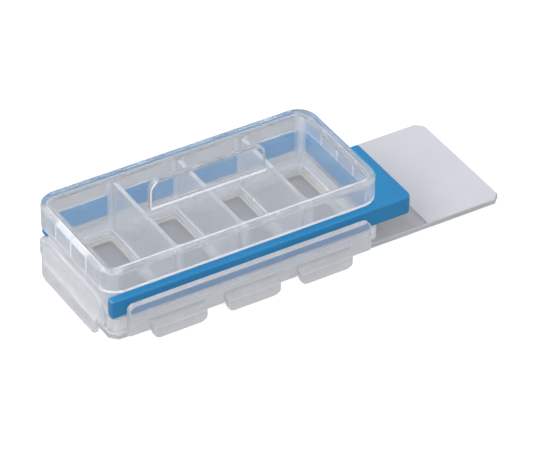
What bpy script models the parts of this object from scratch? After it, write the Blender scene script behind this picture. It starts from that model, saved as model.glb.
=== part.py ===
"""Four-well chamber slide for growing cells on a microscope slide.

Frame: +X runs along the slide towards its frosted end, +Y towards the rear clip, +Z up.
The origin is the centre of the slide's underside. All sizes are in metres.
"""

import math

import bmesh
import bpy
from mathutils import Matrix, Vector

MM = 0.001

# Microscope slide
SLIDE_LENGTH = 75.0 * MM
SLIDE_WIDTH = 25.0 * MM
SLIDE_THICKNESS = 1.0 * MM
SLIDE_CORNER_CLIP = 1.3 * MM

# Wells: four in a row along X, open at the top and at the bottom
WELL_COUNT = 4
WELL_ROW_CENTRE_X = -12.25 * MM
WELL_LENGTH_X = 11.4 * MM
WELL_WIDTH_Y = 20.3 * MM
DIVIDER_THICKNESS = 0.8 * MM
WELL_CORNER_RADIUS = 0.9 * MM
END_WALL = 0.85 * MM
SIDE_WALL = 0.85 * MM
WALL_TOP = 12.5 * MM
WALL_CORNER_RADIUS = 2.3 * MM

# Flange round the foot of the wells
FLANGE_LEFT = -37.4 * MM
FLANGE_RIGHT = 12.9 * MM
FLANGE_HALF_WIDTH = 12.7 * MM
FLANGE_BOTTOM = 1.95 * MM
FLANGE_TOP = 4.7 * MM
FLANGE_CORNER_RADIUS = 1.2 * MM

# Gasket between the slide and the flange
GASKET_BOTTOM = SLIDE_THICKNESS + 0.05 * MM
GASKET_TOP = FLANGE_BOTTOM - 0.05 * MM
GASKET_WINDOW_X = 10.7 * MM
GASKET_WINDOW_Y = 19.0 * MM
GASKET_INSET = 0.1 * MM

# Lock frame: two rails and a pull block at the right
FRONT_RAIL_LEFT = -37.7 * MM
REAR_RAIL_LEFT = -36.4 * MM
RAIL_OUTER = 13.0 * MM
RAIL_INNER = 11.4 * MM
LOCK_BOTTOM = 5.0 * MM
LOCK_TOP = 8.5 * MM
BLOCK_LEFT = 12.95 * MM
BLOCK_RIGHT = 19.1 * MM
BLOCK_STEP_X = 17.1 * MM
BLOCK_STEP_Y = 3.9 * MM
LOCK_CORNER_RADIUS = 1.2 * MM
LOCK_INNER_RADIUS = 1.2 * MM
LOCK_EDGE_ROUND = 0.5 * MM

# Lid
LID_HALF_LENGTH = 26.05 * MM
LID_HALF_WIDTH = 12.2 * MM
LID_BOTTOM = 9.0 * MM
LID_TOP = 13.65 * MM
LID_PLATE = 1.0 * MM
LID_SKIRT = 0.8 * MM
LID_CORNER_RADIUS = 3.6 * MM
LID_EDGE_ROUND = 0.75 * MM
RIB_SPACING = 5.0 * MM
RIB_WIDTH = 0.6 * MM
RIB_DEPTH = 0.25 * MM
FIN_CENTRE_X = -12.6 * MM
FIN_LENGTH = 21.8 * MM
FIN_THICKNESS = 1.2 * MM
FIN_HEIGHT = 5.2 * MM
FIN_CORNER_RADIUS = 2.1 * MM

# Clips: flat flaps that pivot on a thin web beside the flange
HINGE_HEIGHT = 3.2 * MM
HINGE_GAP = 0.15 * MM
WEB_THICKNESS = 0.4 * MM
CLIP_TOP = 7.5 * MM
CLIP_EMBED = 0.3 * MM
LONG_CLIP_LENGTH = 45.5 * MM
FRONT_CLIP_CENTRE_X = -12.6 * MM
REAR_CLIP_CENTRE_X = -9.6 * MM
LONG_TAB_COUNT = 3
LONG_TAB_PITCH = 13.8 * MM
LONG_TAB_SHIFT = -0.3 * MM
LONG_TAB_WIDTH = 10.2 * MM
END_CLIP_LENGTH = 20.0 * MM
END_CLIP_CENTRE_Y = -0.8 * MM
END_TAB_WIDTH = 18.0 * MM

# Long clips, measured outwards from the hinge axis and up from the slide's underside
LONG_CLIP = {
    "inner": 0.55 * MM,
    "outer": 1.75 * MM,
    "panel_bottom": 1.7 * MM,
    "panel_radius": 1.1 * MM,
    "tab_outer": 3.15 * MM,
    "tab_bottom": 0.65 * MM,
    "tab_shoulder": 4.3 * MM,
    "tab_ledge": 2.9 * MM,
    "tab_lip": 0.9 * MM,
    "tab_radius": 1.5 * MM,
}

# End clip, measured the same way
END_CLIP = {
    "inner": 0.25 * MM,
    "outer": 1.05 * MM,
    "panel_bottom": 2.9 * MM,
    "panel_radius": 3.0 * MM,
    "tab_outer": 1.6 * MM,
    "tab_bottom": 0.1 * MM,
    "tab_shoulder": 4.9 * MM,
    "tab_ledge": 3.2 * MM,
    "tab_lip": 0.8 * MM,
    "tab_radius": 1.3 * MM,
}

ARC_STEPS = 6
SMOOTH_ANGLE = math.radians(32)


def clear_scene():
    for item in list(bpy.data.objects):
        bpy.data.objects.remove(item, do_unlink=True)


def plastic(name, colour, roughness, alpha=1.0, transmission=0.0):
    """A Principled material for one kind of moulded or cut piece."""
    material = bpy.data.materials.new(name)
    material.use_nodes = True
    shader = material.node_tree.nodes["Principled BSDF"]
    shader.inputs["Base Color"].default_value = (*colour, 1.0)
    shader.inputs["Roughness"].default_value = roughness
    shader.inputs["Metallic"].default_value = 0.0
    shader.inputs["Alpha"].default_value = alpha
    shader.inputs["Transmission Weight"].default_value = transmission
    return material


def arc(centre, radius, start, end, steps=ARC_STEPS):
    """Points along an arc, with angles in degrees."""
    points = []
    for step in range(steps + 1):
        angle = math.radians(start + (end - start) * step / steps)
        points.append((centre[0] + radius * math.cos(angle), centre[1] + radius * math.sin(angle)))
    return points


def rounded_rectangle(left, right, low, high, radius):
    """A rectangle with four rounded corners, anticlockwise from the lower right."""
    return (
        arc((right - radius, low + radius), radius, -90, 0)
        + arc((right - radius, high - radius), radius, 0, 90)
        + arc((left + radius, high - radius), radius, 90, 180)
        + arc((left + radius, low + radius), radius, 180, 270)
    )


def mesh_object(name, mesh, material):
    thing = bpy.data.objects.new(name, mesh)
    bpy.context.scene.collection.objects.link(thing)
    if material:
        thing.data.materials.append(material)
    return thing


def loft(name, rings, material=None):
    """A closed solid through rings of equally many 3-D points, capped at both ends."""
    shape = bmesh.new()
    loops = [[shape.verts.new(point) for point in ring] for ring in rings]
    count = len(loops[0])
    for lower, upper in zip(loops, loops[1:]):
        for index in range(count):
            after = (index + 1) % count
            shape.faces.new((lower[index], lower[after], upper[after], upper[index]))
    shape.faces.new(reversed(loops[0]))
    shape.faces.new(loops[-1])
    bmesh.ops.recalc_face_normals(shape, faces=shape.faces)
    mesh = bpy.data.meshes.new(name)
    shape.to_mesh(mesh)
    shape.free()
    mesh.shade_smooth()
    mesh.set_sharp_from_angle(angle=SMOOTH_ANGLE)
    return mesh_object(name, mesh, material)


def prism(name, outline, bottom, top, material=None):
    """An outline in X and Y, extruded from one height to another."""
    rings = [[(x, y, height) for x, y in outline] for height in (bottom, top)]
    return loft(name, rings, material)


def combine(target, tool, operation):
    """Add, or cut away, a hidden helper solid with a Boolean modifier."""
    tool.hide_render = True
    tool.display_type = "WIRE"
    modifier = target.modifiers.new(tool.name, "BOOLEAN")
    modifier.operation = operation
    modifier.solver = "EXACT"
    modifier.object = tool


def place(thing, parent, location, turn=0.0):
    """Hang a piece whose mesh is already drawn about its own origin on its parent."""
    thing.parent = parent
    thing.location = location
    thing.rotation_euler = (0.0, 0.0, turn)


def move_origin(thing, parent, origin):
    """Give a piece drawn in the object's frame an origin of its own, where it is pulled from."""
    thing.data.transform(Matrix.Translation(-Vector(origin)))
    place(thing, parent, origin)


def well_centres():
    pitch = WELL_LENGTH_X + DIVIDER_THICKNESS
    first = WELL_ROW_CENTRE_X - pitch * (WELL_COUNT - 1) / 2
    return [first + pitch * index for index in range(WELL_COUNT)]


def wall_ends():
    """The left and right outer faces of the row of wells."""
    row = WELL_COUNT * WELL_LENGTH_X + (WELL_COUNT - 1) * DIVIDER_THICKNESS
    half = row / 2 + END_WALL
    return WELL_ROW_CENTRE_X - half, WELL_ROW_CENTRE_X + half


def make_glass_slide(material):
    half_x, half_y, clip = SLIDE_LENGTH / 2, SLIDE_WIDTH / 2, SLIDE_CORNER_CLIP
    outline = [
        (half_x - clip, -half_y),
        (half_x, -half_y + clip),
        (half_x, half_y - clip),
        (half_x - clip, half_y),
        (-half_x + clip, half_y),
        (-half_x, half_y - clip),
        (-half_x, -half_y + clip),
        (-half_x + clip, -half_y),
    ]
    return prism("glass_slide", outline, 0.0, SLIDE_THICKNESS, material)


def cut_openings(target, size_x, size_y, bottom, top, label):
    """Cut one rounded opening through the target under each well."""
    margin = 1.0 * MM
    for number, centre in enumerate(well_centres(), start=1):
        outline = rounded_rectangle(
            centre - size_x / 2, centre + size_x / 2, -size_y / 2, size_y / 2, WELL_CORNER_RADIUS
        )
        cutter = prism(f"{label}_cutter_{number}", outline, bottom - margin, top + margin)
        combine(target, cutter, "DIFFERENCE")


def make_gasket(material):
    left, right = wall_ends()
    half_y = WELL_WIDTH_Y / 2 + SIDE_WALL - GASKET_INSET
    outline = rounded_rectangle(
        left + GASKET_INSET, right - GASKET_INSET, -half_y, half_y, WALL_CORNER_RADIUS
    )
    gasket = prism("gasket", outline, GASKET_BOTTOM, GASKET_TOP, material)
    cut_openings(gasket, GASKET_WINDOW_X, GASKET_WINDOW_Y, GASKET_BOTTOM, GASKET_TOP, "window")
    return gasket


def make_well_housing(material):
    flange_outline = rounded_rectangle(
        FLANGE_LEFT, FLANGE_RIGHT, -FLANGE_HALF_WIDTH, FLANGE_HALF_WIDTH, FLANGE_CORNER_RADIUS
    )
    housing = prism("well_housing", flange_outline, FLANGE_BOTTOM, FLANGE_TOP, material)

    left, right = wall_ends()
    half_y = WELL_WIDTH_Y / 2 + SIDE_WALL
    wall_outline = rounded_rectangle(left, right, -half_y, half_y, WALL_CORNER_RADIUS)
    wall_foot = (FLANGE_BOTTOM + FLANGE_TOP) / 2
    combine(housing, prism("wall_block", wall_outline, wall_foot, WALL_TOP), "UNION")
    cut_openings(housing, WELL_LENGTH_X, WELL_WIDTH_Y, FLANGE_BOTTOM, WALL_TOP, "well")
    return housing


def lock_outline():
    """The U of the lock, open at the left, with a stepped pull block at the right."""
    outer, inner = LOCK_CORNER_RADIUS, LOCK_INNER_RADIUS
    step_round = LOCK_EDGE_ROUND
    return (
        [(FRONT_RAIL_LEFT, -RAIL_OUTER)]
        + arc((BLOCK_RIGHT - outer, -RAIL_OUTER + outer), outer, -90, 0)
        + arc((BLOCK_RIGHT - step_round, BLOCK_STEP_Y - step_round), step_round, 0, 90, 2)
        + [(BLOCK_STEP_X, BLOCK_STEP_Y)]
        + arc((BLOCK_STEP_X - outer, RAIL_OUTER - outer), outer, 0, 90)
        + [(REAR_RAIL_LEFT, RAIL_OUTER), (REAR_RAIL_LEFT, RAIL_INNER)]
        + arc((BLOCK_LEFT - inner, RAIL_INNER - inner), inner, 90, 0)
        + arc((BLOCK_LEFT - inner, -RAIL_INNER + inner), inner, 0, -90)
        + [(FRONT_RAIL_LEFT, -RAIL_INNER)]
    )


def make_lock_frame(material):
    lock = prism("lock_frame", lock_outline(), LOCK_BOTTOM, LOCK_TOP, material)
    rounding = lock.modifiers.new("edge_round", "BEVEL")
    rounding.width = LOCK_EDGE_ROUND
    rounding.segments = 2
    rounding.limit_method = "ANGLE"
    rounding.angle_limit = math.radians(60)
    return lock


def lid_ring(inset, height):
    """The lid's outline, drawn in by an inset and set at a height."""
    outline = rounded_rectangle(
        WELL_ROW_CENTRE_X - LID_HALF_LENGTH + inset,
        WELL_ROW_CENTRE_X + LID_HALF_LENGTH - inset,
        -LID_HALF_WIDTH + inset,
        LID_HALF_WIDTH - inset,
        LID_CORNER_RADIUS - inset,
    )
    return [(x, y, height) for x, y in outline]


def make_lid(material):
    rings = [
        lid_ring(LID_SKIRT, LID_TOP - LID_PLATE),
        lid_ring(LID_SKIRT, LID_BOTTOM),
        lid_ring(0.0, LID_BOTTOM),
    ]
    round_steps = 4
    for step in range(round_steps + 1):
        angle = math.radians(90) * step / round_steps
        inset = LID_EDGE_ROUND * (1 - math.cos(angle))
        rings.append(lid_ring(inset, LID_TOP - LID_EDGE_ROUND * (1 - math.sin(angle))))
    lid = loft("lid", rings, material)
    combine(lid, make_fin(), "UNION")
    for rib in make_ribs():
        combine(lid, rib, "UNION")
    return lid


def make_fin():
    """The upright grip: a plate with rounded upper corners, standing in the lid's top."""
    left = FIN_CENTRE_X - FIN_LENGTH / 2
    right = FIN_CENTRE_X + FIN_LENGTH / 2
    foot = LID_TOP - LID_PLATE / 2
    crest = LID_TOP + FIN_HEIGHT
    radius = FIN_CORNER_RADIUS
    profile = (
        [(left, foot), (right, foot)]
        + arc((right - radius, crest - radius), radius, 0, 90)
        + arc((left + radius, crest - radius), radius, 90, 180)
    )
    half = FIN_THICKNESS / 2
    rings = [[(x, y, height) for x, height in profile] for y in (-half, half)]
    return loft("fin_block", rings)


def make_ribs():
    """Three small centring ribs inside each end of the lid's skirt."""
    ribs = []
    skirt_inside = LID_HALF_LENGTH - LID_SKIRT
    embed = LID_SKIRT / 2
    for side in (-1, 1):
        for place_number in (-1, 0, 1):
            inner = WELL_ROW_CENTRE_X + side * (skirt_inside - RIB_DEPTH)
            outer = WELL_ROW_CENTRE_X + side * (skirt_inside + embed)
            middle = place_number * RIB_SPACING
            outline = [
                (min(inner, outer), middle - RIB_WIDTH / 2),
                (max(inner, outer), middle - RIB_WIDTH / 2),
                (max(inner, outer), middle + RIB_WIDTH / 2),
                (min(inner, outer), middle + RIB_WIDTH / 2),
            ]
            name = f"rib_block_{len(ribs) + 1}"
            ribs.append(prism(name, outline, LID_BOTTOM + embed, LID_TOP - LID_PLATE / 2))
    return ribs


def tab_profile(clip, bottom):
    """A finger tab's section as (outwards, up): it flares out of the panel, then turns down."""
    shoulder_radius = clip["tab_outer"] - clip["outer"]
    nose = min(0.5 * MM, shoulder_radius / 2)
    flare = shoulder_radius - nose
    ledge = clip["tab_ledge"]
    outer = clip["tab_outer"]
    lip_inside = outer - clip["tab_lip"]
    rise = clip["tab_shoulder"] - ledge
    profile = [(clip["inner"] + CLIP_EMBED, clip["tab_shoulder"])]
    for step in range(ARC_STEPS + 1):
        angle = math.radians(90) * step / ARC_STEPS
        out = clip["outer"] + flare * (1 - math.cos(angle))
        profile.append((out, clip["tab_shoulder"] - rise * math.sin(angle)))
    profile += arc((outer - nose, ledge - nose), nose, 90, 0, 4)[1:]
    profile += [(outer, bottom), (lip_inside, bottom)]
    root = max(bottom + 0.3 * MM, ledge - clip["tab_lip"])
    profile += [(lip_inside, root), (clip["inner"] + CLIP_EMBED, root)]
    return profile


def tab_solid(name, clip, width, middle):
    """A finger tab with rounded lower corners, drawn about the hinge axis."""
    radius = clip["tab_radius"]
    steps = ARC_STEPS
    stations = []
    for step in range(steps + 1):
        angle = math.radians(90) * step / steps
        stations.append((radius * (1 - math.cos(angle)), radius * (1 - math.sin(angle))))
    left = [(middle - width / 2 + along, rise) for along, rise in stations]
    right = [(middle + width / 2 - along, rise) for along, rise in reversed(stations)]
    rings = []
    for along, rise in left + right:
        section = tab_profile(clip, clip["tab_bottom"] + rise)
        rings.append([(along, -out, up - HINGE_HEIGHT) for out, up in section])
    return loft(name, rings)


def make_clip(name, clip, length, tabs, tab_width, material):
    """A flap drawn about its hinge axis: length along X, outwards along -Y, up along Z."""
    low = clip["panel_bottom"] - HINGE_HEIGHT
    high = CLIP_TOP - HINGE_HEIGHT
    radius = clip["panel_radius"]
    half = length / 2
    outline = (
        [(-half, low), (half, low)]
        + arc((half - radius, high - radius), radius, 0, 90)
        + arc((-half + radius, high - radius), radius, 90, 180)
    )
    rings = [[(x, -out, up) for x, up in outline] for out in (clip["inner"], clip["outer"])]
    panel = loft(name, rings, material)

    for number, middle in enumerate(tabs, start=1):
        tab = tab_solid(f"{name}_tab_block_{number}", clip, tab_width, middle)
        tab.parent = panel
        combine(panel, tab, "UNION")

    web_half = half - 2.0 * MM
    web_outline = [
        (-web_half, -clip["inner"] - CLIP_EMBED),
        (web_half, -clip["inner"] - CLIP_EMBED),
        (web_half, 0.0),
        (-web_half, 0.0),
    ]
    web = prism(f"{name}_web_block", web_outline, -WEB_THICKNESS / 2, WEB_THICKNESS / 2)
    web.parent = panel
    combine(panel, web, "UNION")
    return panel


def long_tabs():
    first = LONG_TAB_SHIFT - LONG_TAB_PITCH * (LONG_TAB_COUNT - 1) / 2
    return [first + LONG_TAB_PITCH * index for index in range(LONG_TAB_COUNT)]


def build():
    clear_scene()
    glass = plastic("clear_glass", (0.80, 0.84, 0.84), 0.05, alpha=0.6, transmission=0.6)
    silicone = plastic("silicone", (0.80, 0.78, 0.74), 0.55)
    clear = plastic("clear_plastic", (0.86, 0.88, 0.92), 0.10, alpha=0.5, transmission=0.6)
    milky = plastic("milky_plastic", (0.78, 0.79, 0.82), 0.35, alpha=0.85)
    blue = plastic("blue_plastic", (0.02, 0.19, 0.48), 0.35)

    make_glass_slide(glass)
    housing = make_well_housing(clear)
    gasket = make_gasket(silicone)
    gasket.parent = housing

    lock = make_lock_frame(blue)
    move_origin(lock, housing, (BLOCK_RIGHT, 0.0, (LOCK_BOTTOM + LOCK_TOP) / 2))
    lid = make_lid(clear)
    lid.parent = housing

    hinge_y = FLANGE_HALF_WIDTH + HINGE_GAP
    long_clip = (LONG_CLIP, LONG_CLIP_LENGTH, long_tabs(), LONG_TAB_WIDTH, milky)
    front = make_clip("front_clip", *long_clip)
    place(front, housing, (FRONT_CLIP_CENTRE_X, -hinge_y, HINGE_HEIGHT))
    rear = make_clip("rear_clip", *long_clip)
    place(rear, housing, (REAR_CLIP_CENTRE_X, hinge_y, HINGE_HEIGHT), math.pi)

    end = make_clip("end_clip", END_CLIP, END_CLIP_LENGTH, [0.0], END_TAB_WIDTH, milky)
    hinge_x = FLANGE_LEFT - HINGE_GAP
    place(end, housing, (hinge_x, END_CLIP_CENTRE_Y, HINGE_HEIGHT), -math.pi / 2)


build()
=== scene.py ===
import math

import bmesh
import bpy
from mathutils import Matrix, Vector


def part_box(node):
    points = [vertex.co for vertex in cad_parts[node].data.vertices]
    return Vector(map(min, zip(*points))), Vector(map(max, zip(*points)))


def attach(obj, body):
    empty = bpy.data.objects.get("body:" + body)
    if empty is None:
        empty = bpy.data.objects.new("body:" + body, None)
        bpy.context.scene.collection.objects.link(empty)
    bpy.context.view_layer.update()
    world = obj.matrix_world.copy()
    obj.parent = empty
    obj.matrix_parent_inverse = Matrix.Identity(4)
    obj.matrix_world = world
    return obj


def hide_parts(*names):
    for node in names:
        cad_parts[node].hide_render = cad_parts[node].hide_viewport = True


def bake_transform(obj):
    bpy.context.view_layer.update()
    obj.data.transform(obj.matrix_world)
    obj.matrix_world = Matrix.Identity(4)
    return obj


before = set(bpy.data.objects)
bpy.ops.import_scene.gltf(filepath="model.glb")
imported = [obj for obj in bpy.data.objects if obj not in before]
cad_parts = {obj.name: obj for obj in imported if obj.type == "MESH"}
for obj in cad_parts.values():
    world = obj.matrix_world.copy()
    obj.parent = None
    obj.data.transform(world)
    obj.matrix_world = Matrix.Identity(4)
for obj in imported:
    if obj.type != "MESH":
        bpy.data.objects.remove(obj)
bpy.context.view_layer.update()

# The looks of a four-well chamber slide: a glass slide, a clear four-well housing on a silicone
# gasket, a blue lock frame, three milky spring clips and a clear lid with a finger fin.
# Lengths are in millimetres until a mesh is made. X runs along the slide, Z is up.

MM = 0.001


def box_mm(node):
    """Lowest and highest corner of a CAD node, in millimetres."""
    low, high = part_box(node)
    return low / MM, high / MM


SLIDE_LOW, SLIDE_HIGH = box_mm("glass_slide")
GASKET_LOW, GASKET_HIGH = box_mm("gasket")
HOUSING_LOW, HOUSING_HIGH = box_mm("well_housing")
LOCK_LOW, LOCK_HIGH = box_mm("lock_frame")
LID_LOW, LID_HIGH = box_mm("lid")
FRONT_LOW, FRONT_HIGH = box_mm("front_clip")
REAR_LOW, REAR_HIGH = box_mm("rear_clip")
END_LOW, END_HIGH = box_mm("end_clip")

# Slide
SLIDE_CORNER_CLIP = 1.3
SLIDE_EDGE_CHAMFER = 0.12
FROST_START_X = 22.8
DARK_GLASS_MARGIN = 1.0
GLASS_BORDER = 0.3

# Wells and housing
WELL_COUNT = 4
WELL_LENGTH_X = 11.4
WELL_WIDTH_Y = 20.3
DIVIDER = 0.8
WELL_PITCH = WELL_LENGTH_X + DIVIDER
WELL_CORNER_RADIUS = 0.9
OUTER_WALL = 0.85
WALL_CORNER_RADIUS = 2.3
RIM_ROUND = 0.12
FLANGE_TOP = 4.7
FLANGE_CORNER_RADIUS = 1.2
FLANGE_ROUND = 0.3
FLANGE_FOOT_ROUND = 0.15
WALL_FOOT_FILLET = 0.05
FOOT_LIP = 0.2
FOOT_HEIGHT = 0.9
DIVIDER_TOP_END = 0.6
# Where the painted highlight line along the front rim lies, measured out from the well's inner side
RIM_LINE_START = 0.22
RIM_LINE_END = 0.63

# Gasket
WINDOW_X = 10.7
WINDOW_Y = 19.0
GASKET_ROUND = 0.15
SEAL_LIP = 0.3
SEAL_HEIGHT = 0.35

# Lock frame
RAIL_INNER_Y = 11.4
BLOCK_LEFT = 12.95
REAR_RAIL_LEFT = -36.4
BLOCK_STEP_X = 17.1
BLOCK_STEP_Y = 3.9
LOCK_CORNER_RADIUS = 1.2
LOCK_INNER_RADIUS = 1.2
LOCK_ROUND = 0.35

# Lid
LID_TOP = 13.65
LID_PLATE = 1.0
LID_SKIRT = 0.8
LID_CORNER_RADIUS = 3.6
LID_ROUND = 0.6
LID_INNER_FILLET = 0.45
LID_RIM_ROUND = 0.2
RIB_SPACING = 5.0
RIB_WIDTH = 0.34
RIB_DEPTH = 0.28
RIB_LOW_WIDTH = 0.3
RIB_LOW_DEPTH = 0.05
RIB_LIFT = 0.5
FIN_CENTRE_X = -12.6
FIN_LENGTH = 21.8
FIN_THICKNESS = 1.2
FIN_CORNER_RADIUS = 2.1
FIN_ROUND = 0.3
FIN_FOOT = 0.28

# Clips, measured outwards from the hinge axis and up from the slide's underside
HINGE_HEIGHT = 3.2
HINGE_GAP = 0.15
WEB_THICKNESS = 0.4
WEB_WAIST = 0.62
WEB_END_GAP = 2.0
WEB_OVERLAP = 0.05
CLIP_ROUND = 0.18
TAB_SIDE_ROUND = 0.3
TAB_NOSE_ROUND = 0.35
TAB_TIP_ROUND = 0.22
LONG_TAB_COUNT = 3
LONG_TAB_PITCH = 13.8
LONG_TAB_SHIFT = -0.3
LONG_TAB_WIDTH = 10.2
END_TAB_WIDTH = 18.0
LONG_CLIP = {
    "inner": 0.55, "outer": 1.75, "bottom": 1.7, "corner": 1.1, "tab_outer": 3.15, "tab_bottom": 0.65,
    "shoulder": 4.3, "ledge": 2.9, "lip": 0.9, "tab_corner": 1.5,
}
END_CLIP = {
    "inner": 0.25, "outer": 1.05, "bottom": 2.9, "corner": 3.0, "tab_outer": 1.6, "tab_bottom": 0.1,
    "shoulder": 4.9, "ledge": 3.2, "lip": 0.8, "tab_corner": 1.3,
}
CLIP_TOP = FRONT_HIGH.z

WELL_ROW_CENTRE_X = (LID_LOW.x + LID_HIGH.x) / 2
ROW_HALF = (WELL_COUNT * WELL_PITCH - DIVIDER) / 2 + OUTER_WALL
WALL_LEFT = WELL_ROW_CENTRE_X - ROW_HALF
WALL_RIGHT = WELL_ROW_CENTRE_X + ROW_HALF
WALL_HALF_Y = WELL_WIDTH_Y / 2 + OUTER_WALL

ROUND_STEPS = 10
FINE_STEPS = 5
SHARP_ANGLE = math.radians(38)
MERGE_DISTANCE = 1e-7

# Studio, in metres, except the floor's gap in millimetres
FLOOR_HALF = 2.0
FLOOR_GAP = 0.05
LIGHT_TARGET = Vector((-0.005, 0.0, 0.006))
WORLD_COLOUR = (0.97, 0.98, 1.0, 1.0)
WORLD_STRENGTH = 0.475


# ---------------------------------------------------------------- camera, light and floor

def set_camera():
    """A long lens from the left, above the front, rolled by less than a degree."""
    place = Vector((-0.27506, -0.44480, 0.39601))
    target = Vector((0.0, 0.0007, 0.00075))
    roll = math.radians(0.84)
    data = bpy.data.cameras.new("camera")
    data.sensor_width = 36.0
    data.lens = 262.9
    data.clip_start = 0.01
    camera = bpy.data.objects.new("camera", data)
    turn = (target - place).to_track_quat("-Z", "Y").to_matrix().to_4x4()
    camera.matrix_world = Matrix.Translation(place) @ turn @ Matrix.Rotation(roll, 4, "Z")
    bpy.context.scene.collection.objects.link(camera)
    bpy.context.scene.camera = camera


def add_softbox(name, place, size, power):
    """A square area light that looks at the object."""
    data = bpy.data.lights.new(name, "AREA")
    data.shape = "SQUARE"
    data.size = size
    data.energy = power
    lamp = bpy.data.objects.new(name, data)
    lamp.location = place
    aim = LIGHT_TARGET - lamp.location
    lamp.rotation_euler = aim.to_track_quat("-Z", "Y").to_euler()
    bpy.context.scene.collection.objects.link(lamp)


def set_light():
    world = bpy.data.worlds.new("studio")
    bpy.context.scene.world = world
    world.use_nodes = True
    background = world.node_tree.nodes["Background"]
    background.inputs["Color"].default_value = WORLD_COLOUR
    background.inputs["Strength"].default_value = WORLD_STRENGTH
    add_softbox("key_light", Vector((-0.45, 0.05, 0.60)), 1.00, 5.5)
    add_softbox("fill_light", Vector((0.0, -0.55, 0.50)), 0.80, 2.4)

    scene = bpy.context.scene
    scene.view_settings.view_transform = "Standard"
    scene.cycles.max_bounces = 24
    scene.cycles.transmission_bounces = 24
    scene.cycles.transparent_max_bounces = 32
    scene.cycles.glossy_bounces = 8


# ---------------------------------------------------------------- material helpers

def new_material(name):
    material = bpy.data.materials.new(name)
    material.use_nodes = True
    material.node_tree.nodes.clear()
    return material


def add_node(material, kind, inputs=None, **settings):
    """A new node; inputs gives socket values, or output sockets to link to them."""
    tree = material.node_tree
    node = tree.nodes.new(kind)
    for key, value in settings.items():
        setattr(node, key, value)
    for key, value in (inputs or {}).items():
        if isinstance(value, bpy.types.NodeSocket):
            tree.links.new(value, node.inputs[key])
        else:
            node.inputs[key].default_value = value
    return node


def object_coordinates(material):
    return add_node(material, "ShaderNodeTexCoord").outputs["Object"]


def noise(material, coordinates, scale, detail=2.0, roughness=0.5):
    inputs = {"Vector": coordinates, "Scale": scale, "Detail": detail, "Roughness": roughness}
    return add_node(material, "ShaderNodeTexNoise", inputs).outputs[0]


def spread(material, value, low, high, from_low=0.3, from_high=0.7):
    """Stretch a value over a wanted range."""
    inputs = {"Value": value, "From Min": from_low, "From Max": from_high, "To Min": low, "To Max": high}
    return add_node(material, "ShaderNodeMapRange", inputs).outputs["Result"]


def bump(material, height, strength, distance):
    inputs = {"Height": height, "Strength": strength, "Distance": distance}
    return add_node(material, "ShaderNodeBump", inputs).outputs["Normal"]


def colour_between(material, factor, first, second):
    """Two colours mixed by a factor, through a ramp."""
    ramp = add_node(material, "ShaderNodeValToRGB", {"Fac": factor})
    ramp.color_ramp.elements[0].position = 0.3
    ramp.color_ramp.elements[1].position = 0.7
    ramp.color_ramp.elements[0].color = (*first, 1.0)
    ramp.color_ramp.elements[1].color = (*second, 1.0)
    return ramp.outputs["Color"]


def output(material, surface):
    add_node(material, "ShaderNodeOutputMaterial", {"Surface": surface})
    return material


# ---------------------------------------------------------------- materials

def below(material, place, level, fade):
    """1 under a height and 0 above it, with a soft step between; both in millimetres."""
    height = add_node(material, "ShaderNodeSeparateXYZ", {0: place}).outputs["Z"]
    return spread(material, height, 1.0, 0.0, (level - fade) * MM, (level + fade) * MM)


def see_through(
    name, tint, shade, roughness, milk, milk_colour, grain=0.015, ior=1.45, deep=None, low_colour=None,
):
    """Clear or milky moulded plastic, or glass: refraction with a little scattering at its surface.

    deep is (level, fade, milk): below that height the piece is thicker and cloudier.
    low_colour is the milk's colour down there, where it differs.
    """
    material = new_material(name)
    place = object_coordinates(material)
    flow = noise(material, place, 160.0, 3.0)
    texture = noise(material, place, 5200.0, 2.0)
    normal = bump(material, texture, grain, 0.00002)
    colour = colour_between(material, flow, tint, [c * 0.98 for c in tint])
    amount = spread(material, flow, milk * 0.85, milk * 1.15)
    cloud = colour_between(material, flow, milk_colour, [c * 0.96 for c in milk_colour])
    if deep:
        level, fade, deep_milk = deep
        mask = below(material, place, level, fade)
        if low_colour:
            cloud = colour_between(material, mask, milk_colour, low_colour)
        more = add_node(material, "ShaderNodeMapRange", {"Value": mask, "To Max": deep_milk - milk})
        amount = add_node(
            material, "ShaderNodeMath", {0: amount, 1: more.outputs["Result"]}, operation="ADD"
        ).outputs[0]
    clear = add_node(material, "ShaderNodeBsdfPrincipled", {
        "Base Color": colour,
        "Roughness": spread(material, flow, roughness * 0.6, roughness * 1.4),
        "Normal": normal,
        "IOR": ior,
        "Transmission Weight": 1.0,
    })
    cloudy = add_node(material, "ShaderNodeBsdfPrincipled", {
        "Base Color": cloud,
        "Roughness": 0.45,
        "Normal": normal,
    })
    body = add_node(material, "ShaderNodeMixShader", {0: amount, 1: clear.outputs[0], 2: cloudy.outputs[0]})
    shadow = add_node(material, "ShaderNodeBsdfTransparent", {"Color": (*shade, 1.0)})
    path = add_node(material, "ShaderNodeLightPath")
    mix = add_node(material, "ShaderNodeMixShader", {
        0: path.outputs["Is Shadow Ray"], 1: body.outputs[0], 2: shadow.outputs[0],
    })
    return output(material, mix.outputs[0])


def lid_plastic():
    """The lid's flat walls, almost clear."""
    return see_through(
        "lid_clear", tint=(0.97, 0.98, 0.99), shade=(0.97, 0.975, 0.98), roughness=0.035, milk=0.035,
        milk_colour=(0.78, 0.82, 0.90), deep=(12.4, 0.3, 0.06),
    )


def lid_painted_highlights():
    """Thin painted highlights on the lid: bright white milk along the edges that catch the light."""
    return see_through(
        "lid_painted_highlight", tint=(0.96, 0.97, 0.99), shade=(0.97, 0.975, 0.98), roughness=0.10, milk=0.75,
        milk_colour=(0.93, 0.94, 0.97),
    )


def lid_ends():
    """The lid's short sides, its inner fillet at the back and the fin's ends, a little hazy."""
    return see_through(
        "lid_hazy", tint=(0.96, 0.97, 0.99), shade=(0.97, 0.975, 0.98), roughness=0.11, milk=0.25,
        milk_colour=(0.78, 0.80, 0.85),
    )


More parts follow.
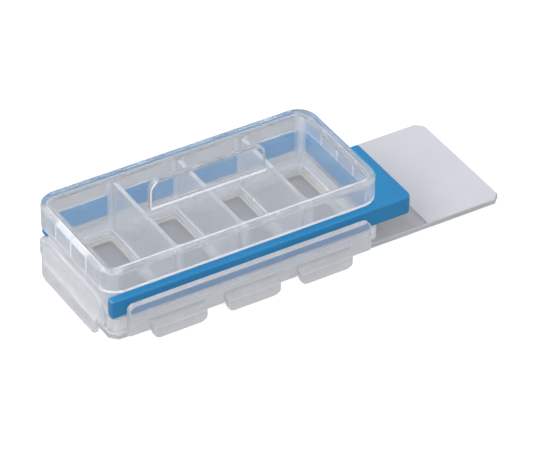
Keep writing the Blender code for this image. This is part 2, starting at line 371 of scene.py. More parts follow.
def lid_back():
    """The back and right top edges, whose milk is painted with the blue of the lock behind them: a painted
    reflection of the lock.
    """
    return see_through(
        "lid_painted_lock_blue", tint=(0.80, 0.90, 0.98), shade=(0.97, 0.975, 0.98), roughness=0.15, milk=0.52,
        milk_colour=(0.26, 0.47, 0.70),
    )


def lid_rounding():
    """The rounded top edge along the front and the left end."""
    return see_through(
        "lid_rounding", tint=(0.94, 0.95, 0.97), shade=(0.97, 0.975, 0.98), roughness=0.24, milk=0.22,
        milk_colour=(0.66, 0.68, 0.73),
    )


def lid_front():
    """The front of the skirt, which blurs the wells behind it."""
    return see_through(
        "lid_front", tint=(0.95, 0.96, 0.98), shade=(0.97, 0.975, 0.98), roughness=0.16, milk=0.20,
        milk_colour=(0.74, 0.77, 0.83),
    )


def well_plastic():
    """The wells' outer walls, clear above the flange and milky in it."""
    return see_through(
        "well_clear", tint=(0.97, 0.975, 0.98), shade=(0.97, 0.975, 0.98), roughness=0.06, milk=0.045,
        milk_colour=(0.78, 0.80, 0.83), deep=(4.8, 0.25, 0.35),
    )


def well_edges():
    """Rounded edges and corners, which scatter more light than the walls."""
    return see_through(
        "well_edge", tint=(0.96, 0.965, 0.97), shade=(0.97, 0.975, 0.98), roughness=0.15, milk=0.36,
        milk_colour=(0.76, 0.78, 0.84),
    )


def well_dividers():
    """The walls between wells, frosted enough to blur what stands behind them."""
    return see_through(
        "well_divider", tint=(0.95, 0.955, 0.96), shade=(0.96, 0.965, 0.97), roughness=0.20, milk=0.29,
        milk_colour=(0.66, 0.67, 0.70),
    )


def well_highlights():
    """Painted highlights: the flange's sides, the left end under the lid and a line along the front rim,
    painted whiter.
    """
    return see_through(
        "well_painted_highlight", tint=(0.96, 0.965, 0.97), shade=(0.97, 0.975, 0.98), roughness=0.15, milk=0.62,
        milk_colour=(0.84, 0.845, 0.87),
    )


def clip_plastic():
    """The long clips' plates, cloudier below the lock's rail."""
    return see_through(
        "clip_milky", tint=(0.96, 0.975, 0.995), shade=(0.95, 0.955, 0.96), roughness=0.08, milk=0.15,
        milk_colour=(0.68, 0.70, 0.76), deep=(1.5, 0.5, 0.55), low_colour=(0.66, 0.665, 0.69),
    )


def clip_edges():
    """The clips' top edges and ends."""
    return see_through(
        "clip_edge", tint=(0.95, 0.955, 0.96), shade=(0.95, 0.955, 0.96), roughness=0.14, milk=0.34,
        milk_colour=(0.74, 0.76, 0.80),
    )


def clip_tabs():
    """The finger tabs, thicker and so cloudier than the clip's plate; their milk is dark grey up in the
    flare as painted shade, and lighter down on the lip.
    """
    return see_through(
        "clip_tab", tint=(0.94, 0.945, 0.95), shade=(0.95, 0.955, 0.96), roughness=0.16, milk=0.60,
        milk_colour=(0.44, 0.445, 0.47), deep=(-0.6, 0.9, 0.62), low_colour=(0.70, 0.70, 0.72),
    )


def end_clip_plastic():
    """The end clip, evenly milky."""
    return see_through(
        "clip_end_milky", tint=(0.96, 0.965, 0.97), shade=(0.95, 0.955, 0.96), roughness=0.18, milk=0.27,
        milk_colour=(0.86, 0.865, 0.90),
    )


def slide_glass():
    return see_through(
        "slide_polished", tint=(0.93, 0.94, 0.95), shade=(0.95, 0.95, 0.96), roughness=0.02, milk=0.03,
        milk_colour=(0.66, 0.68, 0.70), ior=1.5,
    )


def slide_glass_painted_shade():
    """The glass under the wells, a little darker than the bare glass: painted shade for the shadow the
    wells cast there.
    """
    return see_through(
        "slide_painted_shade", tint=(0.76, 0.77, 0.785), shade=(0.85, 0.86, 0.87), roughness=0.02, milk=0.04,
        milk_colour=(0.50, 0.51, 0.53), ior=1.5,
    )


def ground_glass_and_painted_light():
    """The slide's cut and ground edges, and the rim of glass outside the gasket, made just as milky as
    painted light that lifts the shade in the gap under the flange.
    """
    return see_through(
        "slide_ground_edge_and_painted_light", tint=(0.90, 0.92, 0.93), shade=(0.95, 0.95, 0.96), roughness=0.35, milk=0.60,
        milk_colour=(0.74, 0.75, 0.77), grain=0.5, ior=1.5,
    )


def frosted_glass():
    """The sand-blasted writing area: matte, pale grey, with a fine grain."""
    material = new_material("slide_frosted")
    place = object_coordinates(material)
    cloud = noise(material, place, 90.0, 3.0)
    grit = noise(material, place, 9000.0, 3.0, 0.7)
    matte = add_node(material, "ShaderNodeBsdfPrincipled", {
        "Base Color": colour_between(material, cloud, (0.565, 0.57, 0.62), (0.605, 0.61, 0.655)),
        "Roughness": spread(material, grit, 0.62, 0.85),
        "Normal": bump(material, grit, 0.35, 0.00002),
    })
    return output(material, matte.outputs[0])


def lock_plastic(name, dark, light, roughness=0.32, specular=0.4):
    """Satin blue polypropylene with a fine spark-eroded grain."""
    material = new_material(name)
    place = object_coordinates(material)
    flow = noise(material, place, 120.0, 3.0)
    grain = noise(material, place, 4200.0, 3.0, 0.6)
    satin = add_node(material, "ShaderNodeBsdfPrincipled", {
        "Base Color": colour_between(material, flow, dark, light),
        "Roughness": spread(material, grain, roughness, roughness + 0.14),
        "Normal": bump(material, grain, 0.14, 0.00003),
        "Specular IOR Level": specular,
        "Subsurface Weight": 0.08,
        "Subsurface Radius": (0.1, 0.3, 0.8),
        "Subsurface Scale": 0.0006,
    })
    return output(material, satin.outputs[0])


def gasket_silicone():
    """Soft, slightly translucent, warm off-white rubber."""
    material = new_material("gasket_silicone")
    place = object_coordinates(material)
    cloud = noise(material, place, 300.0, 3.0)
    grain = noise(material, place, 6000.0, 2.0)
    rubber = add_node(material, "ShaderNodeBsdfPrincipled", {
        "Base Color": colour_between(material, cloud, (0.44, 0.43, 0.415), (0.49, 0.48, 0.465)),
        "Roughness": spread(material, grain, 0.45, 0.62),
        "Normal": bump(material, grain, 0.2, 0.00002),
        "Subsurface Weight": 0.25,
        "Subsurface Radius": (0.8, 0.7, 0.6),
        "Subsurface Scale": 0.0008,
    })
    return output(material, rubber.outputs[0])


def floor_paper():
    """Plain white paper that looks white itself, but is seen and mirrored as mid grey by the object."""
    material = new_material("floor_paper")
    place = object_coordinates(material)
    fibre = noise(material, place, 900.0, 3.0)
    white = add_node(material, "ShaderNodeBsdfPrincipled", {
        "Base Color": colour_between(material, fibre, (0.80, 0.80, 0.80), (0.83, 0.83, 0.83)),
        "Roughness": 0.9,
        "Specular IOR Level": 0.0,
        "Emission Color": (1.0, 1.0, 1.0, 1.0),
        "Emission Strength": 0.36,
    })
    grey = add_node(material, "ShaderNodeBsdfPrincipled", {
        "Base Color": colour_between(material, fibre, (0.25, 0.25, 0.255), (0.27, 0.27, 0.275)),
        "Roughness": 0.9,
        "Specular IOR Level": 0.0,
        "Emission Color": (0.97, 0.98, 1.0, 1.0),
        "Emission Strength": 0.19,
    })
    path = add_node(material, "ShaderNodeLightPath")
    paper = add_node(material, "ShaderNodeMixShader", {
        0: path.outputs["Is Camera Ray"], 1: grey.outputs[0], 2: white.outputs[0],
    })
    return output(material, paper.outputs[0])


# ---------------------------------------------------------------- mesh helpers

def arc(centre, radius, start, end, steps=ROUND_STEPS):
    """Points along an arc, with angles in degrees."""
    points = []
    for step in range(steps + 1):
        angle = math.radians(start + (end - start) * step / steps)
        points.append((centre[0] + radius * math.cos(angle), centre[1] + radius * math.sin(angle)))
    return points


def rounded_rectangle(left, right, low, high, radius, inset=0.0):
    """A rectangle with four rounded corners, drawn in by an inset, anticlockwise."""
    left, right, low, high = left + inset, right - inset, low + inset, high - inset
    radius = max(radius - inset, 0.05)
    return (
        arc((right - radius, low + radius), radius, -90, 0)
        + arc((right - radius, high - radius), radius, 0, 90)
        + arc((left + radius, high - radius), radius, 90, 180)
        + arc((left + radius, low + radius), radius, 180, 270)
    )


def quarter_round(radius, steps=FINE_STEPS):
    """(inset, drop) pairs from the side of an edge to its flat face."""
    pairs = []
    for step in range(steps + 1):
        angle = math.radians(90) * step / steps
        pairs.append((radius * (1 - math.cos(angle)), radius * (1 - math.sin(angle))))
    return pairs


def flat_ring(outline, height):
    """An outline of (x, y) points, lifted to a height."""
    return [(x, y, height) for x, y in outline]


def loft_mesh(name, rings):
    """A closed bmesh solid through rings of equally many points, capped at both ends."""
    shape = bmesh.new()
    loops = [[shape.verts.new(Vector(point) * MM) for point in ring] for ring in rings]
    count = len(loops[0])
    for lower, upper in zip(loops, loops[1:]):
        for index in range(count):
            after = (index + 1) % count
            shape.faces.new((lower[index], lower[after], upper[after], upper[index]))
    shape.faces.new(reversed(loops[0]))
    shape.faces.new(loops[-1])
    bmesh.ops.remove_doubles(shape, verts=shape.verts, dist=MERGE_DISTANCE)
    bmesh.ops.dissolve_degenerate(shape, edges=shape.edges, dist=MERGE_DISTANCE)
    bmesh.ops.recalc_face_normals(shape, faces=shape.faces)
    mesh = bpy.data.meshes.new(name)
    shape.to_mesh(mesh)
    shape.free()
    return mesh


def mesh_object(name, mesh, material=None):
    thing = bpy.data.objects.new(name, mesh)
    bpy.context.scene.collection.objects.link(thing)
    if material:
        thing.data.materials.append(material)
    return thing


def boolean(target, tool, operation):
    """Join a helper solid to the target, or cut it away, and keep only the resulting mesh."""
    modifier = target.modifiers.new("join", "BOOLEAN")
    modifier.operation = operation
    modifier.solver = "EXACT"
    modifier.object = tool
    settle(target)
    mesh = tool.data
    bpy.data.objects.remove(tool, do_unlink=True)
    bpy.data.meshes.remove(mesh)


def settle(thing):
    """Replace a piece's mesh by what its modifiers make of it."""
    bpy.context.view_layer.update()
    graph = bpy.context.evaluated_depsgraph_get()
    mesh = bpy.data.meshes.new_from_object(thing.evaluated_get(graph))
    old = thing.data
    thing.modifiers.clear()
    thing.data = mesh
    bpy.data.meshes.remove(old)


def smooth(thing, angle=SHARP_ANGLE):
    """Smooth shading with sharp creases, and flat faces that stay flat."""
    thing.data.shade_smooth()
    thing.data.set_sharp_from_angle(angle=angle)
    weighted = thing.modifiers.new("face_weighted_normals", "WEIGHTED_NORMAL")
    weighted.keep_sharp = True
    settle(thing)


def paint_faces(thing, material, wanted):
    """Give a material to the faces for which wanted(centre in millimetres, normal) is true."""
    thing.data.materials.append(material)
    last = len(thing.data.materials) - 1
    for face in thing.data.polygons:
        if wanted(face.center / MM, face.normal):
            face.material_index = last


def split(thing, place, direction):
    """Cut new edges into a mesh along a plane, without taking anything away."""
    shape = bmesh.new()
    shape.from_mesh(thing.data)
    everything = list(shape.verts) + list(shape.edges) + list(shape.faces)
    bmesh.ops.bisect_plane(shape, geom=everything, plane_co=Vector(place) * MM, plane_no=direction)
    shape.to_mesh(thing.data)
    shape.free()


def finish_piece(thing, body, node):
    """Tie a piece to its moving body and hide the CAD node that it stands for."""
    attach(thing, body)
    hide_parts(node)


def well_centres():
    first = WELL_ROW_CENTRE_X - WELL_PITCH * (WELL_COUNT - 1) / 2
    return [first + WELL_PITCH * index for index in range(WELL_COUNT)]


# ---------------------------------------------------------------- pieces

def slide_outline(inset):
    """The slide's clipped rectangle."""
    clip = SLIDE_CORNER_CLIP
    side = inset
    slant = inset * math.tan(math.radians(22.5))
    right, left = SLIDE_HIGH.x - side, SLIDE_LOW.x + side
    back, front = SLIDE_HIGH.y - side, SLIDE_LOW.y + side
    cut = clip - side + slant
    return [
        (right - cut, front), (right, front + cut), (right, back - cut), (right - cut, back),
        (left + cut, back), (left, back - cut), (left, front + cut), (left + cut, front),
    ]


def make_slide():
    chamfer = SLIDE_EDGE_CHAMFER
    low, high = SLIDE_LOW.z, SLIDE_HIGH.z
    rings = [
        flat_ring(slide_outline(chamfer), low),
        flat_ring(slide_outline(0.0), low + chamfer),
        flat_ring(slide_outline(0.0), high - chamfer),
        flat_ring(slide_outline(chamfer), high),
    ]
    mesh = loft_mesh("slide", rings)
    slide = mesh_object("slide", mesh, slide_glass())
    # Under the wells the glass gets a darker copy of itself: painted shade.
    dark_end = HOUSING_HIGH.x - DARK_GLASS_MARGIN
    split(slide, (FROST_START_X, 0, 0), (1, 0, 0))
    split(slide, (dark_end, 0, 0), (1, 0, 0))
    paint_faces(slide, slide_glass_painted_shade(), lambda place, normal: place.x < dark_end)
    for side in (-1, 1):
        split(slide, (0, side * (GASKET_HIGH.y - GLASS_BORDER), 0), (0, 1, 0))
    split(slide, (GASKET_LOW.x + GLASS_BORDER, 0, 0), (1, 0, 0))
    paint_faces(slide, ground_glass_and_painted_light(), slide_face_is_ground_or_painted_light)
    paint_faces(slide, frosted_glass(), lambda place, normal: normal.z > 0.9 and place.x > FROST_START_X)
    finish_piece(slide, "slide", "glass_slide")


def slide_face_is_ground_or_painted_light(place, normal):
    """The slide's ground edges, and the rim outside the gasket at its left end and along its sides, where
    the milk is painted light against the shade under the flange.
    """
    past_end = place.x < GASKET_LOW.x + GLASS_BORDER
    past_side = place.x < 0 and abs(place.y) > GASKET_HIGH.y - GLASS_BORDER
    return abs(normal.z) < 0.9 or past_end or past_side


def cut_wells(target, size_x, size_y, radius, bottom, top, lip, foot_step, foot_height):
    """Cut an opening under each well, rounded at its top edge and stepped in at its foot."""
    for centre in well_centres():
        left, right = centre - size_x / 2, centre + size_x / 2
        foot = rounded_rectangle(left, right, -size_y / 2, size_y / 2, radius, foot_step)
        rings = [flat_ring(foot, bottom - 1.0), flat_ring(foot, bottom + foot_height)]
        wall = rounded_rectangle(left, right, -size_y / 2, size_y / 2, radius)
        rings.append(flat_ring(wall, bottom + foot_height + foot_step / 2))
        for inset, drop in quarter_round(lip):
            outline = rounded_rectangle(left, right, -size_y / 2, size_y / 2, radius, -inset)
            rings.append(flat_ring(outline, top - drop))
        last = rounded_rectangle(left, right, -size_y / 2, size_y / 2, radius, -lip)
        rings.append(flat_ring(last, top + 1.0))
        cutter = mesh_object("cutter", loft_mesh("cutter", rings))
        boolean(target, cutter, "DIFFERENCE")


def make_gasket():
    bottom, top = GASKET_LOW.z, GASKET_HIGH.z
    edges = (GASKET_LOW.x, GASKET_HIGH.x, GASKET_LOW.y, GASKET_HIGH.y)

    def outline(inset):
        return rounded_rectangle(*edges, WALL_CORNER_RADIUS, inset)

    rounding = quarter_round(GASKET_ROUND, 3)
    rings = [flat_ring(outline(inset), bottom + drop) for inset, drop in reversed(rounding)]
    rings += [flat_ring(outline(inset), top - drop) for inset, drop in rounding]
    gasket = mesh_object("gasket_seal", loft_mesh("gasket_seal", rings), gasket_silicone())
    cut_wells(
        gasket, WINDOW_X, WINDOW_Y, WELL_CORNER_RADIUS, bottom, top,
        lip=GASKET_ROUND, foot_step=SEAL_LIP, foot_height=SEAL_HEIGHT,
    )
    smooth(gasket)
    finish_piece(gasket, "housing", "gasket")


def make_housing():
    """The outer skin from the flange up to the rim, then the four wells cut out of it."""
    flange = (HOUSING_LOW.x, HOUSING_HIGH.x, HOUSING_LOW.y, HOUSING_HIGH.y)
    walls = (WALL_LEFT, WALL_RIGHT, -WALL_HALF_Y, WALL_HALF_Y)
    bottom, top = HOUSING_LOW.z, HOUSING_HIGH.z
    rings = []
    for inset, drop in reversed(quarter_round(FLANGE_FOOT_ROUND, 3)):
        rings.append(flat_ring(rounded_rectangle(*flange, FLANGE_CORNER_RADIUS, inset), bottom + drop))
    for inset, drop in quarter_round(FLANGE_ROUND):
        rings.append(flat_ring(rounded_rectangle(*flange, FLANGE_CORNER_RADIUS, inset), FLANGE_TOP - drop))
    for inset, drop in reversed(quarter_round(WALL_FOOT_FILLET, 3)):
        rings.append(flat_ring(rounded_rectangle(*walls, WALL_CORNER_RADIUS, -inset), FLANGE_TOP + drop))
    for inset, drop in quarter_round(RIM_ROUND, 4):
        rings.append(flat_ring(rounded_rectangle(*walls, WALL_CORNER_RADIUS, inset), top - drop))
    housing = mesh_object("wells", loft_mesh("wells", rings), well_plastic())
    cut_wells(
        housing, WELL_LENGTH_X, WELL_WIDTH_Y, WELL_CORNER_RADIUS, bottom, top,
        lip=RIM_ROUND, foot_step=FOOT_LIP, foot_height=FOOT_HEIGHT,
    )
    for side in (-1, 1):
        for from_wall in (-DIVIDER_TOP_END, RIM_LINE_START, RIM_LINE_END):
            split(housing, (0, side * (WELL_WIDTH_Y / 2 + from_wall), 0), (0, 1, 0))
    for middle in divider_centres():
        for side in (-1, 1):
            split(housing, (middle + side * DIVIDER / 2, 0, 0), (1, 0, 0))
    split(housing, (0, 0, LID_LOW.z), (0, 0, 1))
    split(housing, (0, 0, 0), (0, 1, 0))
    smooth(housing)
    paint_faces(housing, well_dividers(), well_face_is_frosted)
    paint_faces(housing, well_edges(), well_face_is_milky)
    paint_faces(housing, well_highlights(), well_face_has_painted_highlight)
    finish_piece(housing, "housing", "well_housing")


def divider_centres():
    """Where the three walls between the wells stand."""
    return [centre + WELL_PITCH / 2 for centre in well_centres()[:-1]]


def well_face_is_frosted(place, normal):
    """The dividers' sides, and the front half of their tops."""
    between_ends = WALL_LEFT + 1.0 < place.x < WALL_RIGHT - 1.0
    on_top = place.z > HOUSING_HIGH.z - 0.2 and -WELL_WIDTH_Y / 2 < place.y < 0
    return between_ends and (abs(normal.x) > 0.95 or on_top)


def well_face_is_milky(place, normal):
    """Rounded edges, the back half of the dividers' tops, their front ends, and the wells' corners."""
    slant = abs(normal.z)
    if place.z > HOUSING_HIGH.z - 0.2:
        on_divider = WALL_LEFT + 1.5 < place.x < WALL_RIGHT - 1.5
        return on_divider and 0 < place.y < WELL_WIDTH_Y / 2 - DIVIDER_TOP_END
    if slant > 0.12:
        return slant < 0.985
    if place.z > FLANGE_TOP and normal.y < -0.9 and place.y < -WALL_HALF_Y + 0.1:
        return min(abs(place.x - middle) for middle in divider_centres()) < DIVIDER / 2
    beside_divider = WALL_LEFT + WELL_LENGTH_X / 2 < place.x
    return beside_divider and abs(normal.x) > 0.15 and abs(normal.y) > 0.15


def well_face_has_painted_highlight(place, normal):
    """Where the wells' painted highlights go: the flange's sides, the left end below the lid, and a thin
    line along the front rim.
    """
    if place.z < FLANGE_TOP:
        at_side = abs(place.y) > WALL_HALF_Y + 0.1 or place.x > WALL_RIGHT + 0.1
        return at_side and abs(normal.z) < 0.12
    if place.z < LID_LOW.z:
        return place.x < WALL_LEFT + WALL_CORNER_RADIUS and normal.x < -0.05
    from_wall = -place.y - WELL_WIDTH_Y / 2
    return place.z > HOUSING_HIGH.z - 0.05 and RIM_LINE_START < from_wall < RIM_LINE_END


def lock_outline():
    """The U of the lock, open at the left, with a stepped pull block at the right."""
    outer, inner, step = LOCK_CORNER_RADIUS, LOCK_INNER_RADIUS, 0.5
    front, back = LOCK_LOW.y, LOCK_HIGH.y
    left, right = LOCK_LOW.x, LOCK_HIGH.x
    rail = RAIL_INNER_Y
    return (
        [(left, front)]
        + arc((right - outer, front + outer), outer, -90, 0)
        + arc((right - step, BLOCK_STEP_Y - step), step, 0, 90, 4)
        + [(BLOCK_STEP_X, BLOCK_STEP_Y)]
        + arc((BLOCK_STEP_X - outer, back - outer), outer, 0, 90)
        + [(REAR_RAIL_LEFT, back), (REAR_RAIL_LEFT, rail)]
        + arc((BLOCK_LEFT - inner, rail - inner), inner, 90, 0)
        + arc((BLOCK_LEFT - inner, -rail + inner), inner, 0, -90)
        + [(left, -rail)]
    )


def round_edges(thing, width, angle=50, segments=3):
    """Round every edge that is sharper than the angle."""
    bevel = thing.modifiers.new("edge_round", "BEVEL")
    bevel.width = width * MM
    bevel.segments = segments
    bevel.limit_method = "ANGLE"
    bevel.angle_limit = math.radians(angle)
    bevel.use_clamp_overlap = True
    settle(thing)


def make_lock():
    outline = lock_outline()
    rings = [flat_ring(outline, LOCK_LOW.z), flat_ring(outline, LOCK_HIGH.z)]
    outside = lock_plastic("lock_blue", (0.014, 0.195, 0.430), (0.018, 0.220, 0.465))
    # The faces that look at the wells get a lighter copy of the blue: painted light for light that barely
    # reaches them under the lid.
    inside = lock_plastic("lock_blue_painted_light", (0.022, 0.290, 0.640), (0.027, 0.325, 0.690))
    lock = mesh_object("lock_slider", loft_mesh("lock_slider", rings), outside)
    round_edges(lock, LOCK_ROUND)
    smooth(lock, math.radians(50))
    # A lighter, glossier blue on the rounded top edges at the ends and on the block's right side: a painted
    # highlight.
    edge = lock_plastic("lock_blue_painted_highlight", (0.060, 0.290, 0.540), (0.070, 0.315, 0.580), 0.22, 0.7)
    paint_faces(lock, edge, lambda place, normal: 0.2 < normal.z < 0.97 and abs(normal.x) > 0.3)
    paint_faces(lock, inside, lock_face_is_painted_lighter)
    finish_piece(lock, "lock", "lock_frame")


def lock_face_is_painted_lighter(place, normal):
    """The upright faces of the U that look at the wells, which get the lighter blue as painted light."""
    return abs(normal.z) < 0.8 and place.x < BLOCK_LEFT + 0.1 and abs(place.y) < RAIL_INNER_Y + 0.1


def lid_outline(inset):
    return rounded_rectangle(LID_LOW.x, LID_HIGH.x, LID_LOW.y, LID_HIGH.y, LID_CORNER_RADIUS, inset)


def make_lid():
    ceiling = LID_TOP - LID_PLATE
    rings = []
    for inset, drop in reversed(quarter_round(LID_INNER_FILLET)):
        rings.append(flat_ring(lid_outline(LID_SKIRT + inset), ceiling - drop))
    for inset, drop in quarter_round(LID_RIM_ROUND, 3):
        rings.append(flat_ring(lid_outline(LID_SKIRT - inset), LID_LOW.z + drop))
    for inset, drop in reversed(quarter_round(LID_RIM_ROUND, 3)):
        rings.append(flat_ring(lid_outline(inset), LID_LOW.z + drop))
    for inset, drop in quarter_round(LID_ROUND, 7):
        rings.append(flat_ring(lid_outline(inset), LID_TOP - drop))
    lid = mesh_object("lid_cover", loft_mesh("lid_cover", rings), lid_plastic())
    boolean(lid, mesh_object("fin", fin_mesh()), "UNION")
    boolean(lid, mesh_object("fin_foot", fin_foot_mesh()), "UNION")
    for rib in rib_meshes():
        boolean(lid, mesh_object("rib", rib), "UNION")
    smooth(lid)
    paint_faces(lid, lid_front(), lid_face_is_front)
    paint_faces(lid, lid_ends(), lid_face_is_hazy)
    paint_faces(lid, lid_rounding(), lid_face_is_rounded)
    paint_faces(lid, lid_back(), lid_face_has_painted_blue)
    paint_faces(lid, lid_painted_highlights(), lid_face_has_painted_highlight)
    finish_piece(lid, "lid", "lid")


def lid_face_is_front(place, normal):
    """The flat front of the skirt, on its outer side."""
    return place.z < LID_TOP - LID_ROUND and normal.y < -0.9 and place.y < LID_LOW.y + 0.1


def lid_face_is_rounded(place, normal):
    """The rounded top edges along the front and the left end."""
    rounded = LID_TOP - LID_ROUND < place.z < LID_TOP + 0.01
    return rounded and normal.x + normal.y < -0.05 and 0.02 < normal.z < 0.998


def lid_face_is_hazy(place, normal):
    """The short sides of the skirt, the inner fillet at the back, and the fin's ends."""
    if place.z > LID_TOP + 0.05:
        return abs(normal.x) > 0.25
    if place.z > LID_TOP - LID_PLATE:
        return False
    if place.z > LID_TOP - LID_PLATE - LID_INNER_FILLET and normal.y < -0.1 and place.y > 0:
        return True
    near_end = min(place.x - LID_LOW.x, LID_HIGH.x - place.x) < LID_CORNER_RADIUS
    return near_end and abs(normal.x) > 0.3


def lid_face_has_painted_blue(place, normal):
    """The rounded top edges at the back and at the right end, which get the painted blue reflection."""
    rounded = LID_TOP - LID_ROUND < place.z < LID_TOP + 0.01
    return rounded and normal.x + normal.y > 0.05 and normal.z < 0.998


def lid_face_has_painted_highlight(place, normal):
    """Where the lid's painted highlights go: the front and left bottom edge, the ribs, the fin's foot and
    the edges of its left end.
    """
    if place.z > LID_TOP + 0.01:
        at_foot = place.z < LID_TOP + FIN_FOOT and 0.1 < normal.z < 0.95
        return at_foot or normal.x < -0.25 and abs(normal.y) > 0.2
    beside_end = min(place.x - LID_LOW.x, LID_HIGH.x - place.x)
    if abs(place.y) < RIB_SPACING + RIB_WIDTH and place.z < LID_TOP - LID_PLATE:
        return LID_SKIRT + 0.02 < beside_end < LID_SKIRT + RIB_DEPTH + 0.02
    if place.z > LID_LOW.z + LID_RIM_ROUND:
        return False
    beside_left = place.x - LID_LOW.x
    if beside_left < LID_SKIRT + 0.05:
        return beside_left < LID_RIM_ROUND and normal.x < -0.25
    return place.y < LID_LOW.y + LID_CORNER_RADIUS


def fin_outline(inset):
    """Side view of the fin as (x, height): a square foot and rounded upper corners."""
    left = FIN_CENTRE_X - FIN_LENGTH / 2 + inset
    right = FIN_CENTRE_X + FIN_LENGTH / 2 - inset
    crest = LID_HIGH.z - inset
    foot = LID_TOP - LID_PLATE / 2
    radius = FIN_CORNER_RADIUS - inset
    return (
        [(left, foot), (right, foot)]
        + arc((right - radius, crest - radius), radius, 0, 90)
        + arc((left + radius, crest - radius), radius, 90, 180)
    )


def fin_mesh():
    """The upright fin, rounded along its side edges."""
    half = FIN_THICKNESS / 2
    rings = []
    for inset, drop in reversed(quarter_round(FIN_ROUND, 4)):
        rings.append([(x, -half + drop, z) for x, z in fin_outline(inset)])
    for inset, drop in quarter_round(FIN_ROUND, 4):
        rings.append([(x, half - drop, z) for x, z in fin_outline(inset)])
    return loft_mesh("fin", rings)


def fin_foot_mesh():
    """A small fillet along both sides of the fin where it stands on the lid."""
    left = FIN_CENTRE_X - FIN_LENGTH / 2
    right = FIN_CENTRE_X + FIN_LENGTH / 2
    half = FIN_THICKNESS / 2
    rings = []
    for step in range(FINE_STEPS + 1):
        angle = math.radians(90) * step / FINE_STEPS
        reach = half + FIN_FOOT * (1 - math.sin(angle)) + 0.01
        height = LID_TOP + FIN_FOOT * (1 - math.cos(angle))
        rings.append([
            (left, -reach, height), (right, -reach, height), (right, reach, height), (left, reach, height)
        ])
    base = [(x, y, LID_TOP - LID_PLATE / 2) for x, y, _ in rings[0]]
    return loft_mesh("fin_foot", [base] + rings)


def rib_meshes():
    """Three small wedge ribs inside each end of the lid's skirt."""
    ribs = []
    skirt_inside = (LID_HIGH.x - LID_LOW.x) / 2 - LID_SKIRT
    embed = LID_SKIRT / 2
    sections = (
        (LID_LOW.z + RIB_LIFT, RIB_LOW_DEPTH, RIB_LOW_WIDTH),
        (LID_TOP - LID_PLATE / 2, RIB_DEPTH, RIB_WIDTH),
    )
    for side in (-1, 1):
        for number in (-1, 0, 1):
            middle = number * RIB_SPACING
            rings = []
            for height, depth, width in sections:
                inner = WELL_ROW_CENTRE_X + side * (skirt_inside - depth)
                outer = WELL_ROW_CENTRE_X + side * (skirt_inside + embed)
                left, right = min(inner, outer), max(inner, outer)
                front, back = middle - width / 2, middle + width / 2
                corners = [(left, front), (right, front), (right, back), (left, back)]
                rings.append(flat_ring(corners, height))
            ribs.append(loft_mesh("rib", rings))
    return ribs


# ---------------------------------------------------------------- clips

def hollow(distance, radius):
    """How far a rounded corner draws back at a distance from its end: radius at 0, nothing at radius."""
    if distance >= radius:
        return 0.0
    return radius - math.sqrt(max(radius ** 2 - (radius - distance) ** 2, 0.0))


def clip_section(clip, along, half, tabs, tab_width):
    """One section of a clip as (outwards, up) points, the same number at every place along it."""
    end = half - abs(along)
    edge = CLIP_ROUND
    shrink = hollow(end, edge)
    inner, outer = clip["inner"] + shrink, clip["outer"] - shrink
    low = clip["bottom"] + shrink
    high = CLIP_TOP - hollow(end, clip["corner"]) - shrink
    points = arc((inner + edge, low + edge), edge, 270, 180, 3)
    points += arc((inner + edge, high - edge), edge, 180, 90, 3)
    points += arc((outer - edge, high - edge), edge, 90, 0, 3)

    within = max(tab_width / 2 - abs(along - middle) for middle in tabs)
    swell = 0.0
    bottom = clip["tab_bottom"]
    if within > 0:
        reach = min(within / TAB_SIDE_ROUND, 1.0)
        swell = math.sqrt(1 - (1 - reach) ** 2)
        bottom += hollow(within, clip["tab_corner"])
    full = tab_profile(clip, bottom)
    start, stop = clip["shoulder"], low + edge
    for index, (out, up) in enumerate(full):
        rest = start + (stop - start) * index / (len(full) - 1)
        points.append((outer + (out - outer) * swell, rest + (up - rest) * swell))
    points += arc((outer - edge, low + edge), edge, 0, -90, 3)
    return points


def tab_profile(clip, bottom):
    """A finger tab from its shoulder, down the flare, over the ledge, round the lip and back in."""
    nose, tip = TAB_NOSE_ROUND, TAB_TIP_ROUND
    outer, ledge, lip = clip["tab_outer"], clip["ledge"], clip["lip"]
    flare = outer - nose - clip["outer"]
    rise = clip["shoulder"] - ledge
    points = []
    steps = 8
    for step in range(steps + 1):
        angle = math.radians(90) * step / steps
        out = clip["outer"] + flare * (1 - math.cos(angle))
        up = clip["shoulder"] - rise * math.sin(angle)
        points.append((out, up))
    points += arc((outer - nose, ledge - nose), nose, 90, 0, 4)[1:]
    points += arc((outer - tip, bottom + tip), tip, 0, -90, 3)
    points += arc((outer - lip + tip, bottom + tip), tip, 270, 180, 3)
    root = max(bottom + tip + 0.1, ledge - lip)
    inside = max(outer - lip, clip["outer"] + 0.05)
    points += [(inside, root), (clip["outer"], root)]
    return points


def clip_stations(clip, half, tabs, tab_width):
    """Places along a clip where its section changes."""
    curve = [1 - math.cos(math.radians(90) * step / 6) for step in range(7)]
    places = set()
    for share in curve:
        for reach in (CLIP_ROUND, clip["corner"]):
            places.update((half - reach * share, -half + reach * share))
        for middle in tabs:
            for reach in (TAB_SIDE_ROUND, clip["tab_corner"]):
                offset = tab_width / 2 - reach * share
                places.update((middle - offset, middle + offset))
    ordered = sorted(places)
    kept = [ordered[0]]
    for place in ordered[1:]:
        if place - kept[-1] > 0.004:
            kept.append(place)
    return kept


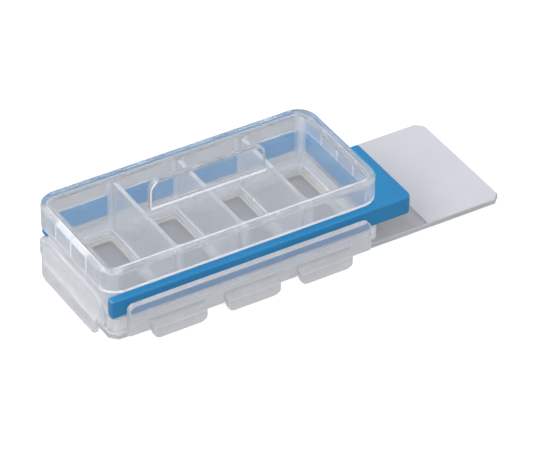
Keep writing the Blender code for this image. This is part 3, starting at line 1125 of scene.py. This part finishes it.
def make_clip(name, node, clip, length, tabs, tab_width, hinge, turn, materials):
    """One clip, and the thin web that joins it to the flange; the node's name is its body's too."""
    plate_material, edge_material, tab_material = materials
    half = length / 2
    rings = []
    for along in clip_stations(clip, half, tabs, tab_width):
        section = clip_section(clip, along, half, tabs, tab_width)
        rings.append([(along, -out, up - HINGE_HEIGHT) for out, up in section])
    piece = mesh_object(name, loft_mesh(name, rings), plate_material)
    piece.matrix_world = hinge_matrix(hinge, turn)
    smooth(piece)
    paint_faces(piece, edge_material, lambda place, normal: normal.z > 0.5 or abs(normal.x) > 0.5)
    if tab_material:
        paint_faces(piece, tab_material, lambda place, normal: -place.y > clip["outer"] + 0.02)
    finish_piece(piece, node, node)

    start, stop = -HINGE_GAP - WEB_OVERLAP, clip["inner"] + WEB_OVERLAP
    web_mesh = clip_web_mesh(f"{name}_web", half - WEB_END_GAP, start, stop)
    web = mesh_object(f"{name}_web", web_mesh, plate_material)
    web.data.transform(hinge_matrix(hinge, turn))
    smooth(web)
    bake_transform(web)


def hinge_matrix(hinge, turn):
    """A clip is drawn about its hinge, facing the front; this puts it in its place."""
    return Matrix.Translation(Vector(hinge) * MM) @ Matrix.Rotation(turn, 4, "Z")


def clip_web_mesh(name, span, start, stop, steps=6):
    """A thin strip from the flange to the clip, narrowest in the middle."""
    thick = WEB_THICKNESS / 2
    rings = []
    for step in range(steps + 1):
        out = start + (stop - start) * step / steps
        from_middle = abs(2 * step / steps - 1)
        neck = thick * (WEB_WAIST + (1 - WEB_WAIST) * from_middle ** 2)
        rings.append([(-span, -out, -neck), (span, -out, -neck), (span, -out, neck), (-span, -out, neck)])
    return loft_mesh(name, rings)


def make_clips():
    edges = clip_edges()
    long_materials = (clip_plastic(), edges, clip_tabs())
    long_length = FRONT_HIGH.x - FRONT_LOW.x
    first = LONG_TAB_SHIFT - LONG_TAB_PITCH * (LONG_TAB_COUNT - 1) / 2
    tabs = [first + LONG_TAB_PITCH * index for index in range(LONG_TAB_COUNT)]
    hinge_y = HOUSING_HIGH.y + HINGE_GAP
    front_centre = (FRONT_LOW.x + FRONT_HIGH.x) / 2
    rear_centre = (REAR_LOW.x + REAR_HIGH.x) / 2
    for name, centre, side, turn in (("front", front_centre, -1, 0.0), ("rear", rear_centre, 1, math.pi)):
        hinge = (centre, side * hinge_y, HINGE_HEIGHT)
        make_clip(
            f"{name}_flap", f"{name}_clip", LONG_CLIP, long_length, tabs, LONG_TAB_WIDTH,
            hinge, turn, long_materials,
        )
    end_hinge = (HOUSING_LOW.x - HINGE_GAP, (END_LOW.y + END_HIGH.y) / 2, HINGE_HEIGHT)
    make_clip(
        "end_flap", "end_clip", END_CLIP, END_HIGH.y - END_LOW.y, [0.0], END_TAB_WIDTH,
        end_hinge, -math.pi / 2, (end_clip_plastic(), edges, None),
    )


def make_floor():
    """A flat sheet just under the slide."""
    shape = bmesh.new()
    bmesh.ops.create_grid(shape, x_segments=1, y_segments=1, size=FLOOR_HALF)
    mesh = bpy.data.meshes.new("floor")
    shape.to_mesh(mesh)
    shape.free()
    floor = mesh_object("floor", mesh, floor_paper())
    floor.location.z = (SLIDE_LOW.z - FLOOR_GAP) * MM


set_camera()
set_light()
make_floor()
make_slide()
make_gasket()
make_housing()
make_lock()
make_lid()
make_clips()
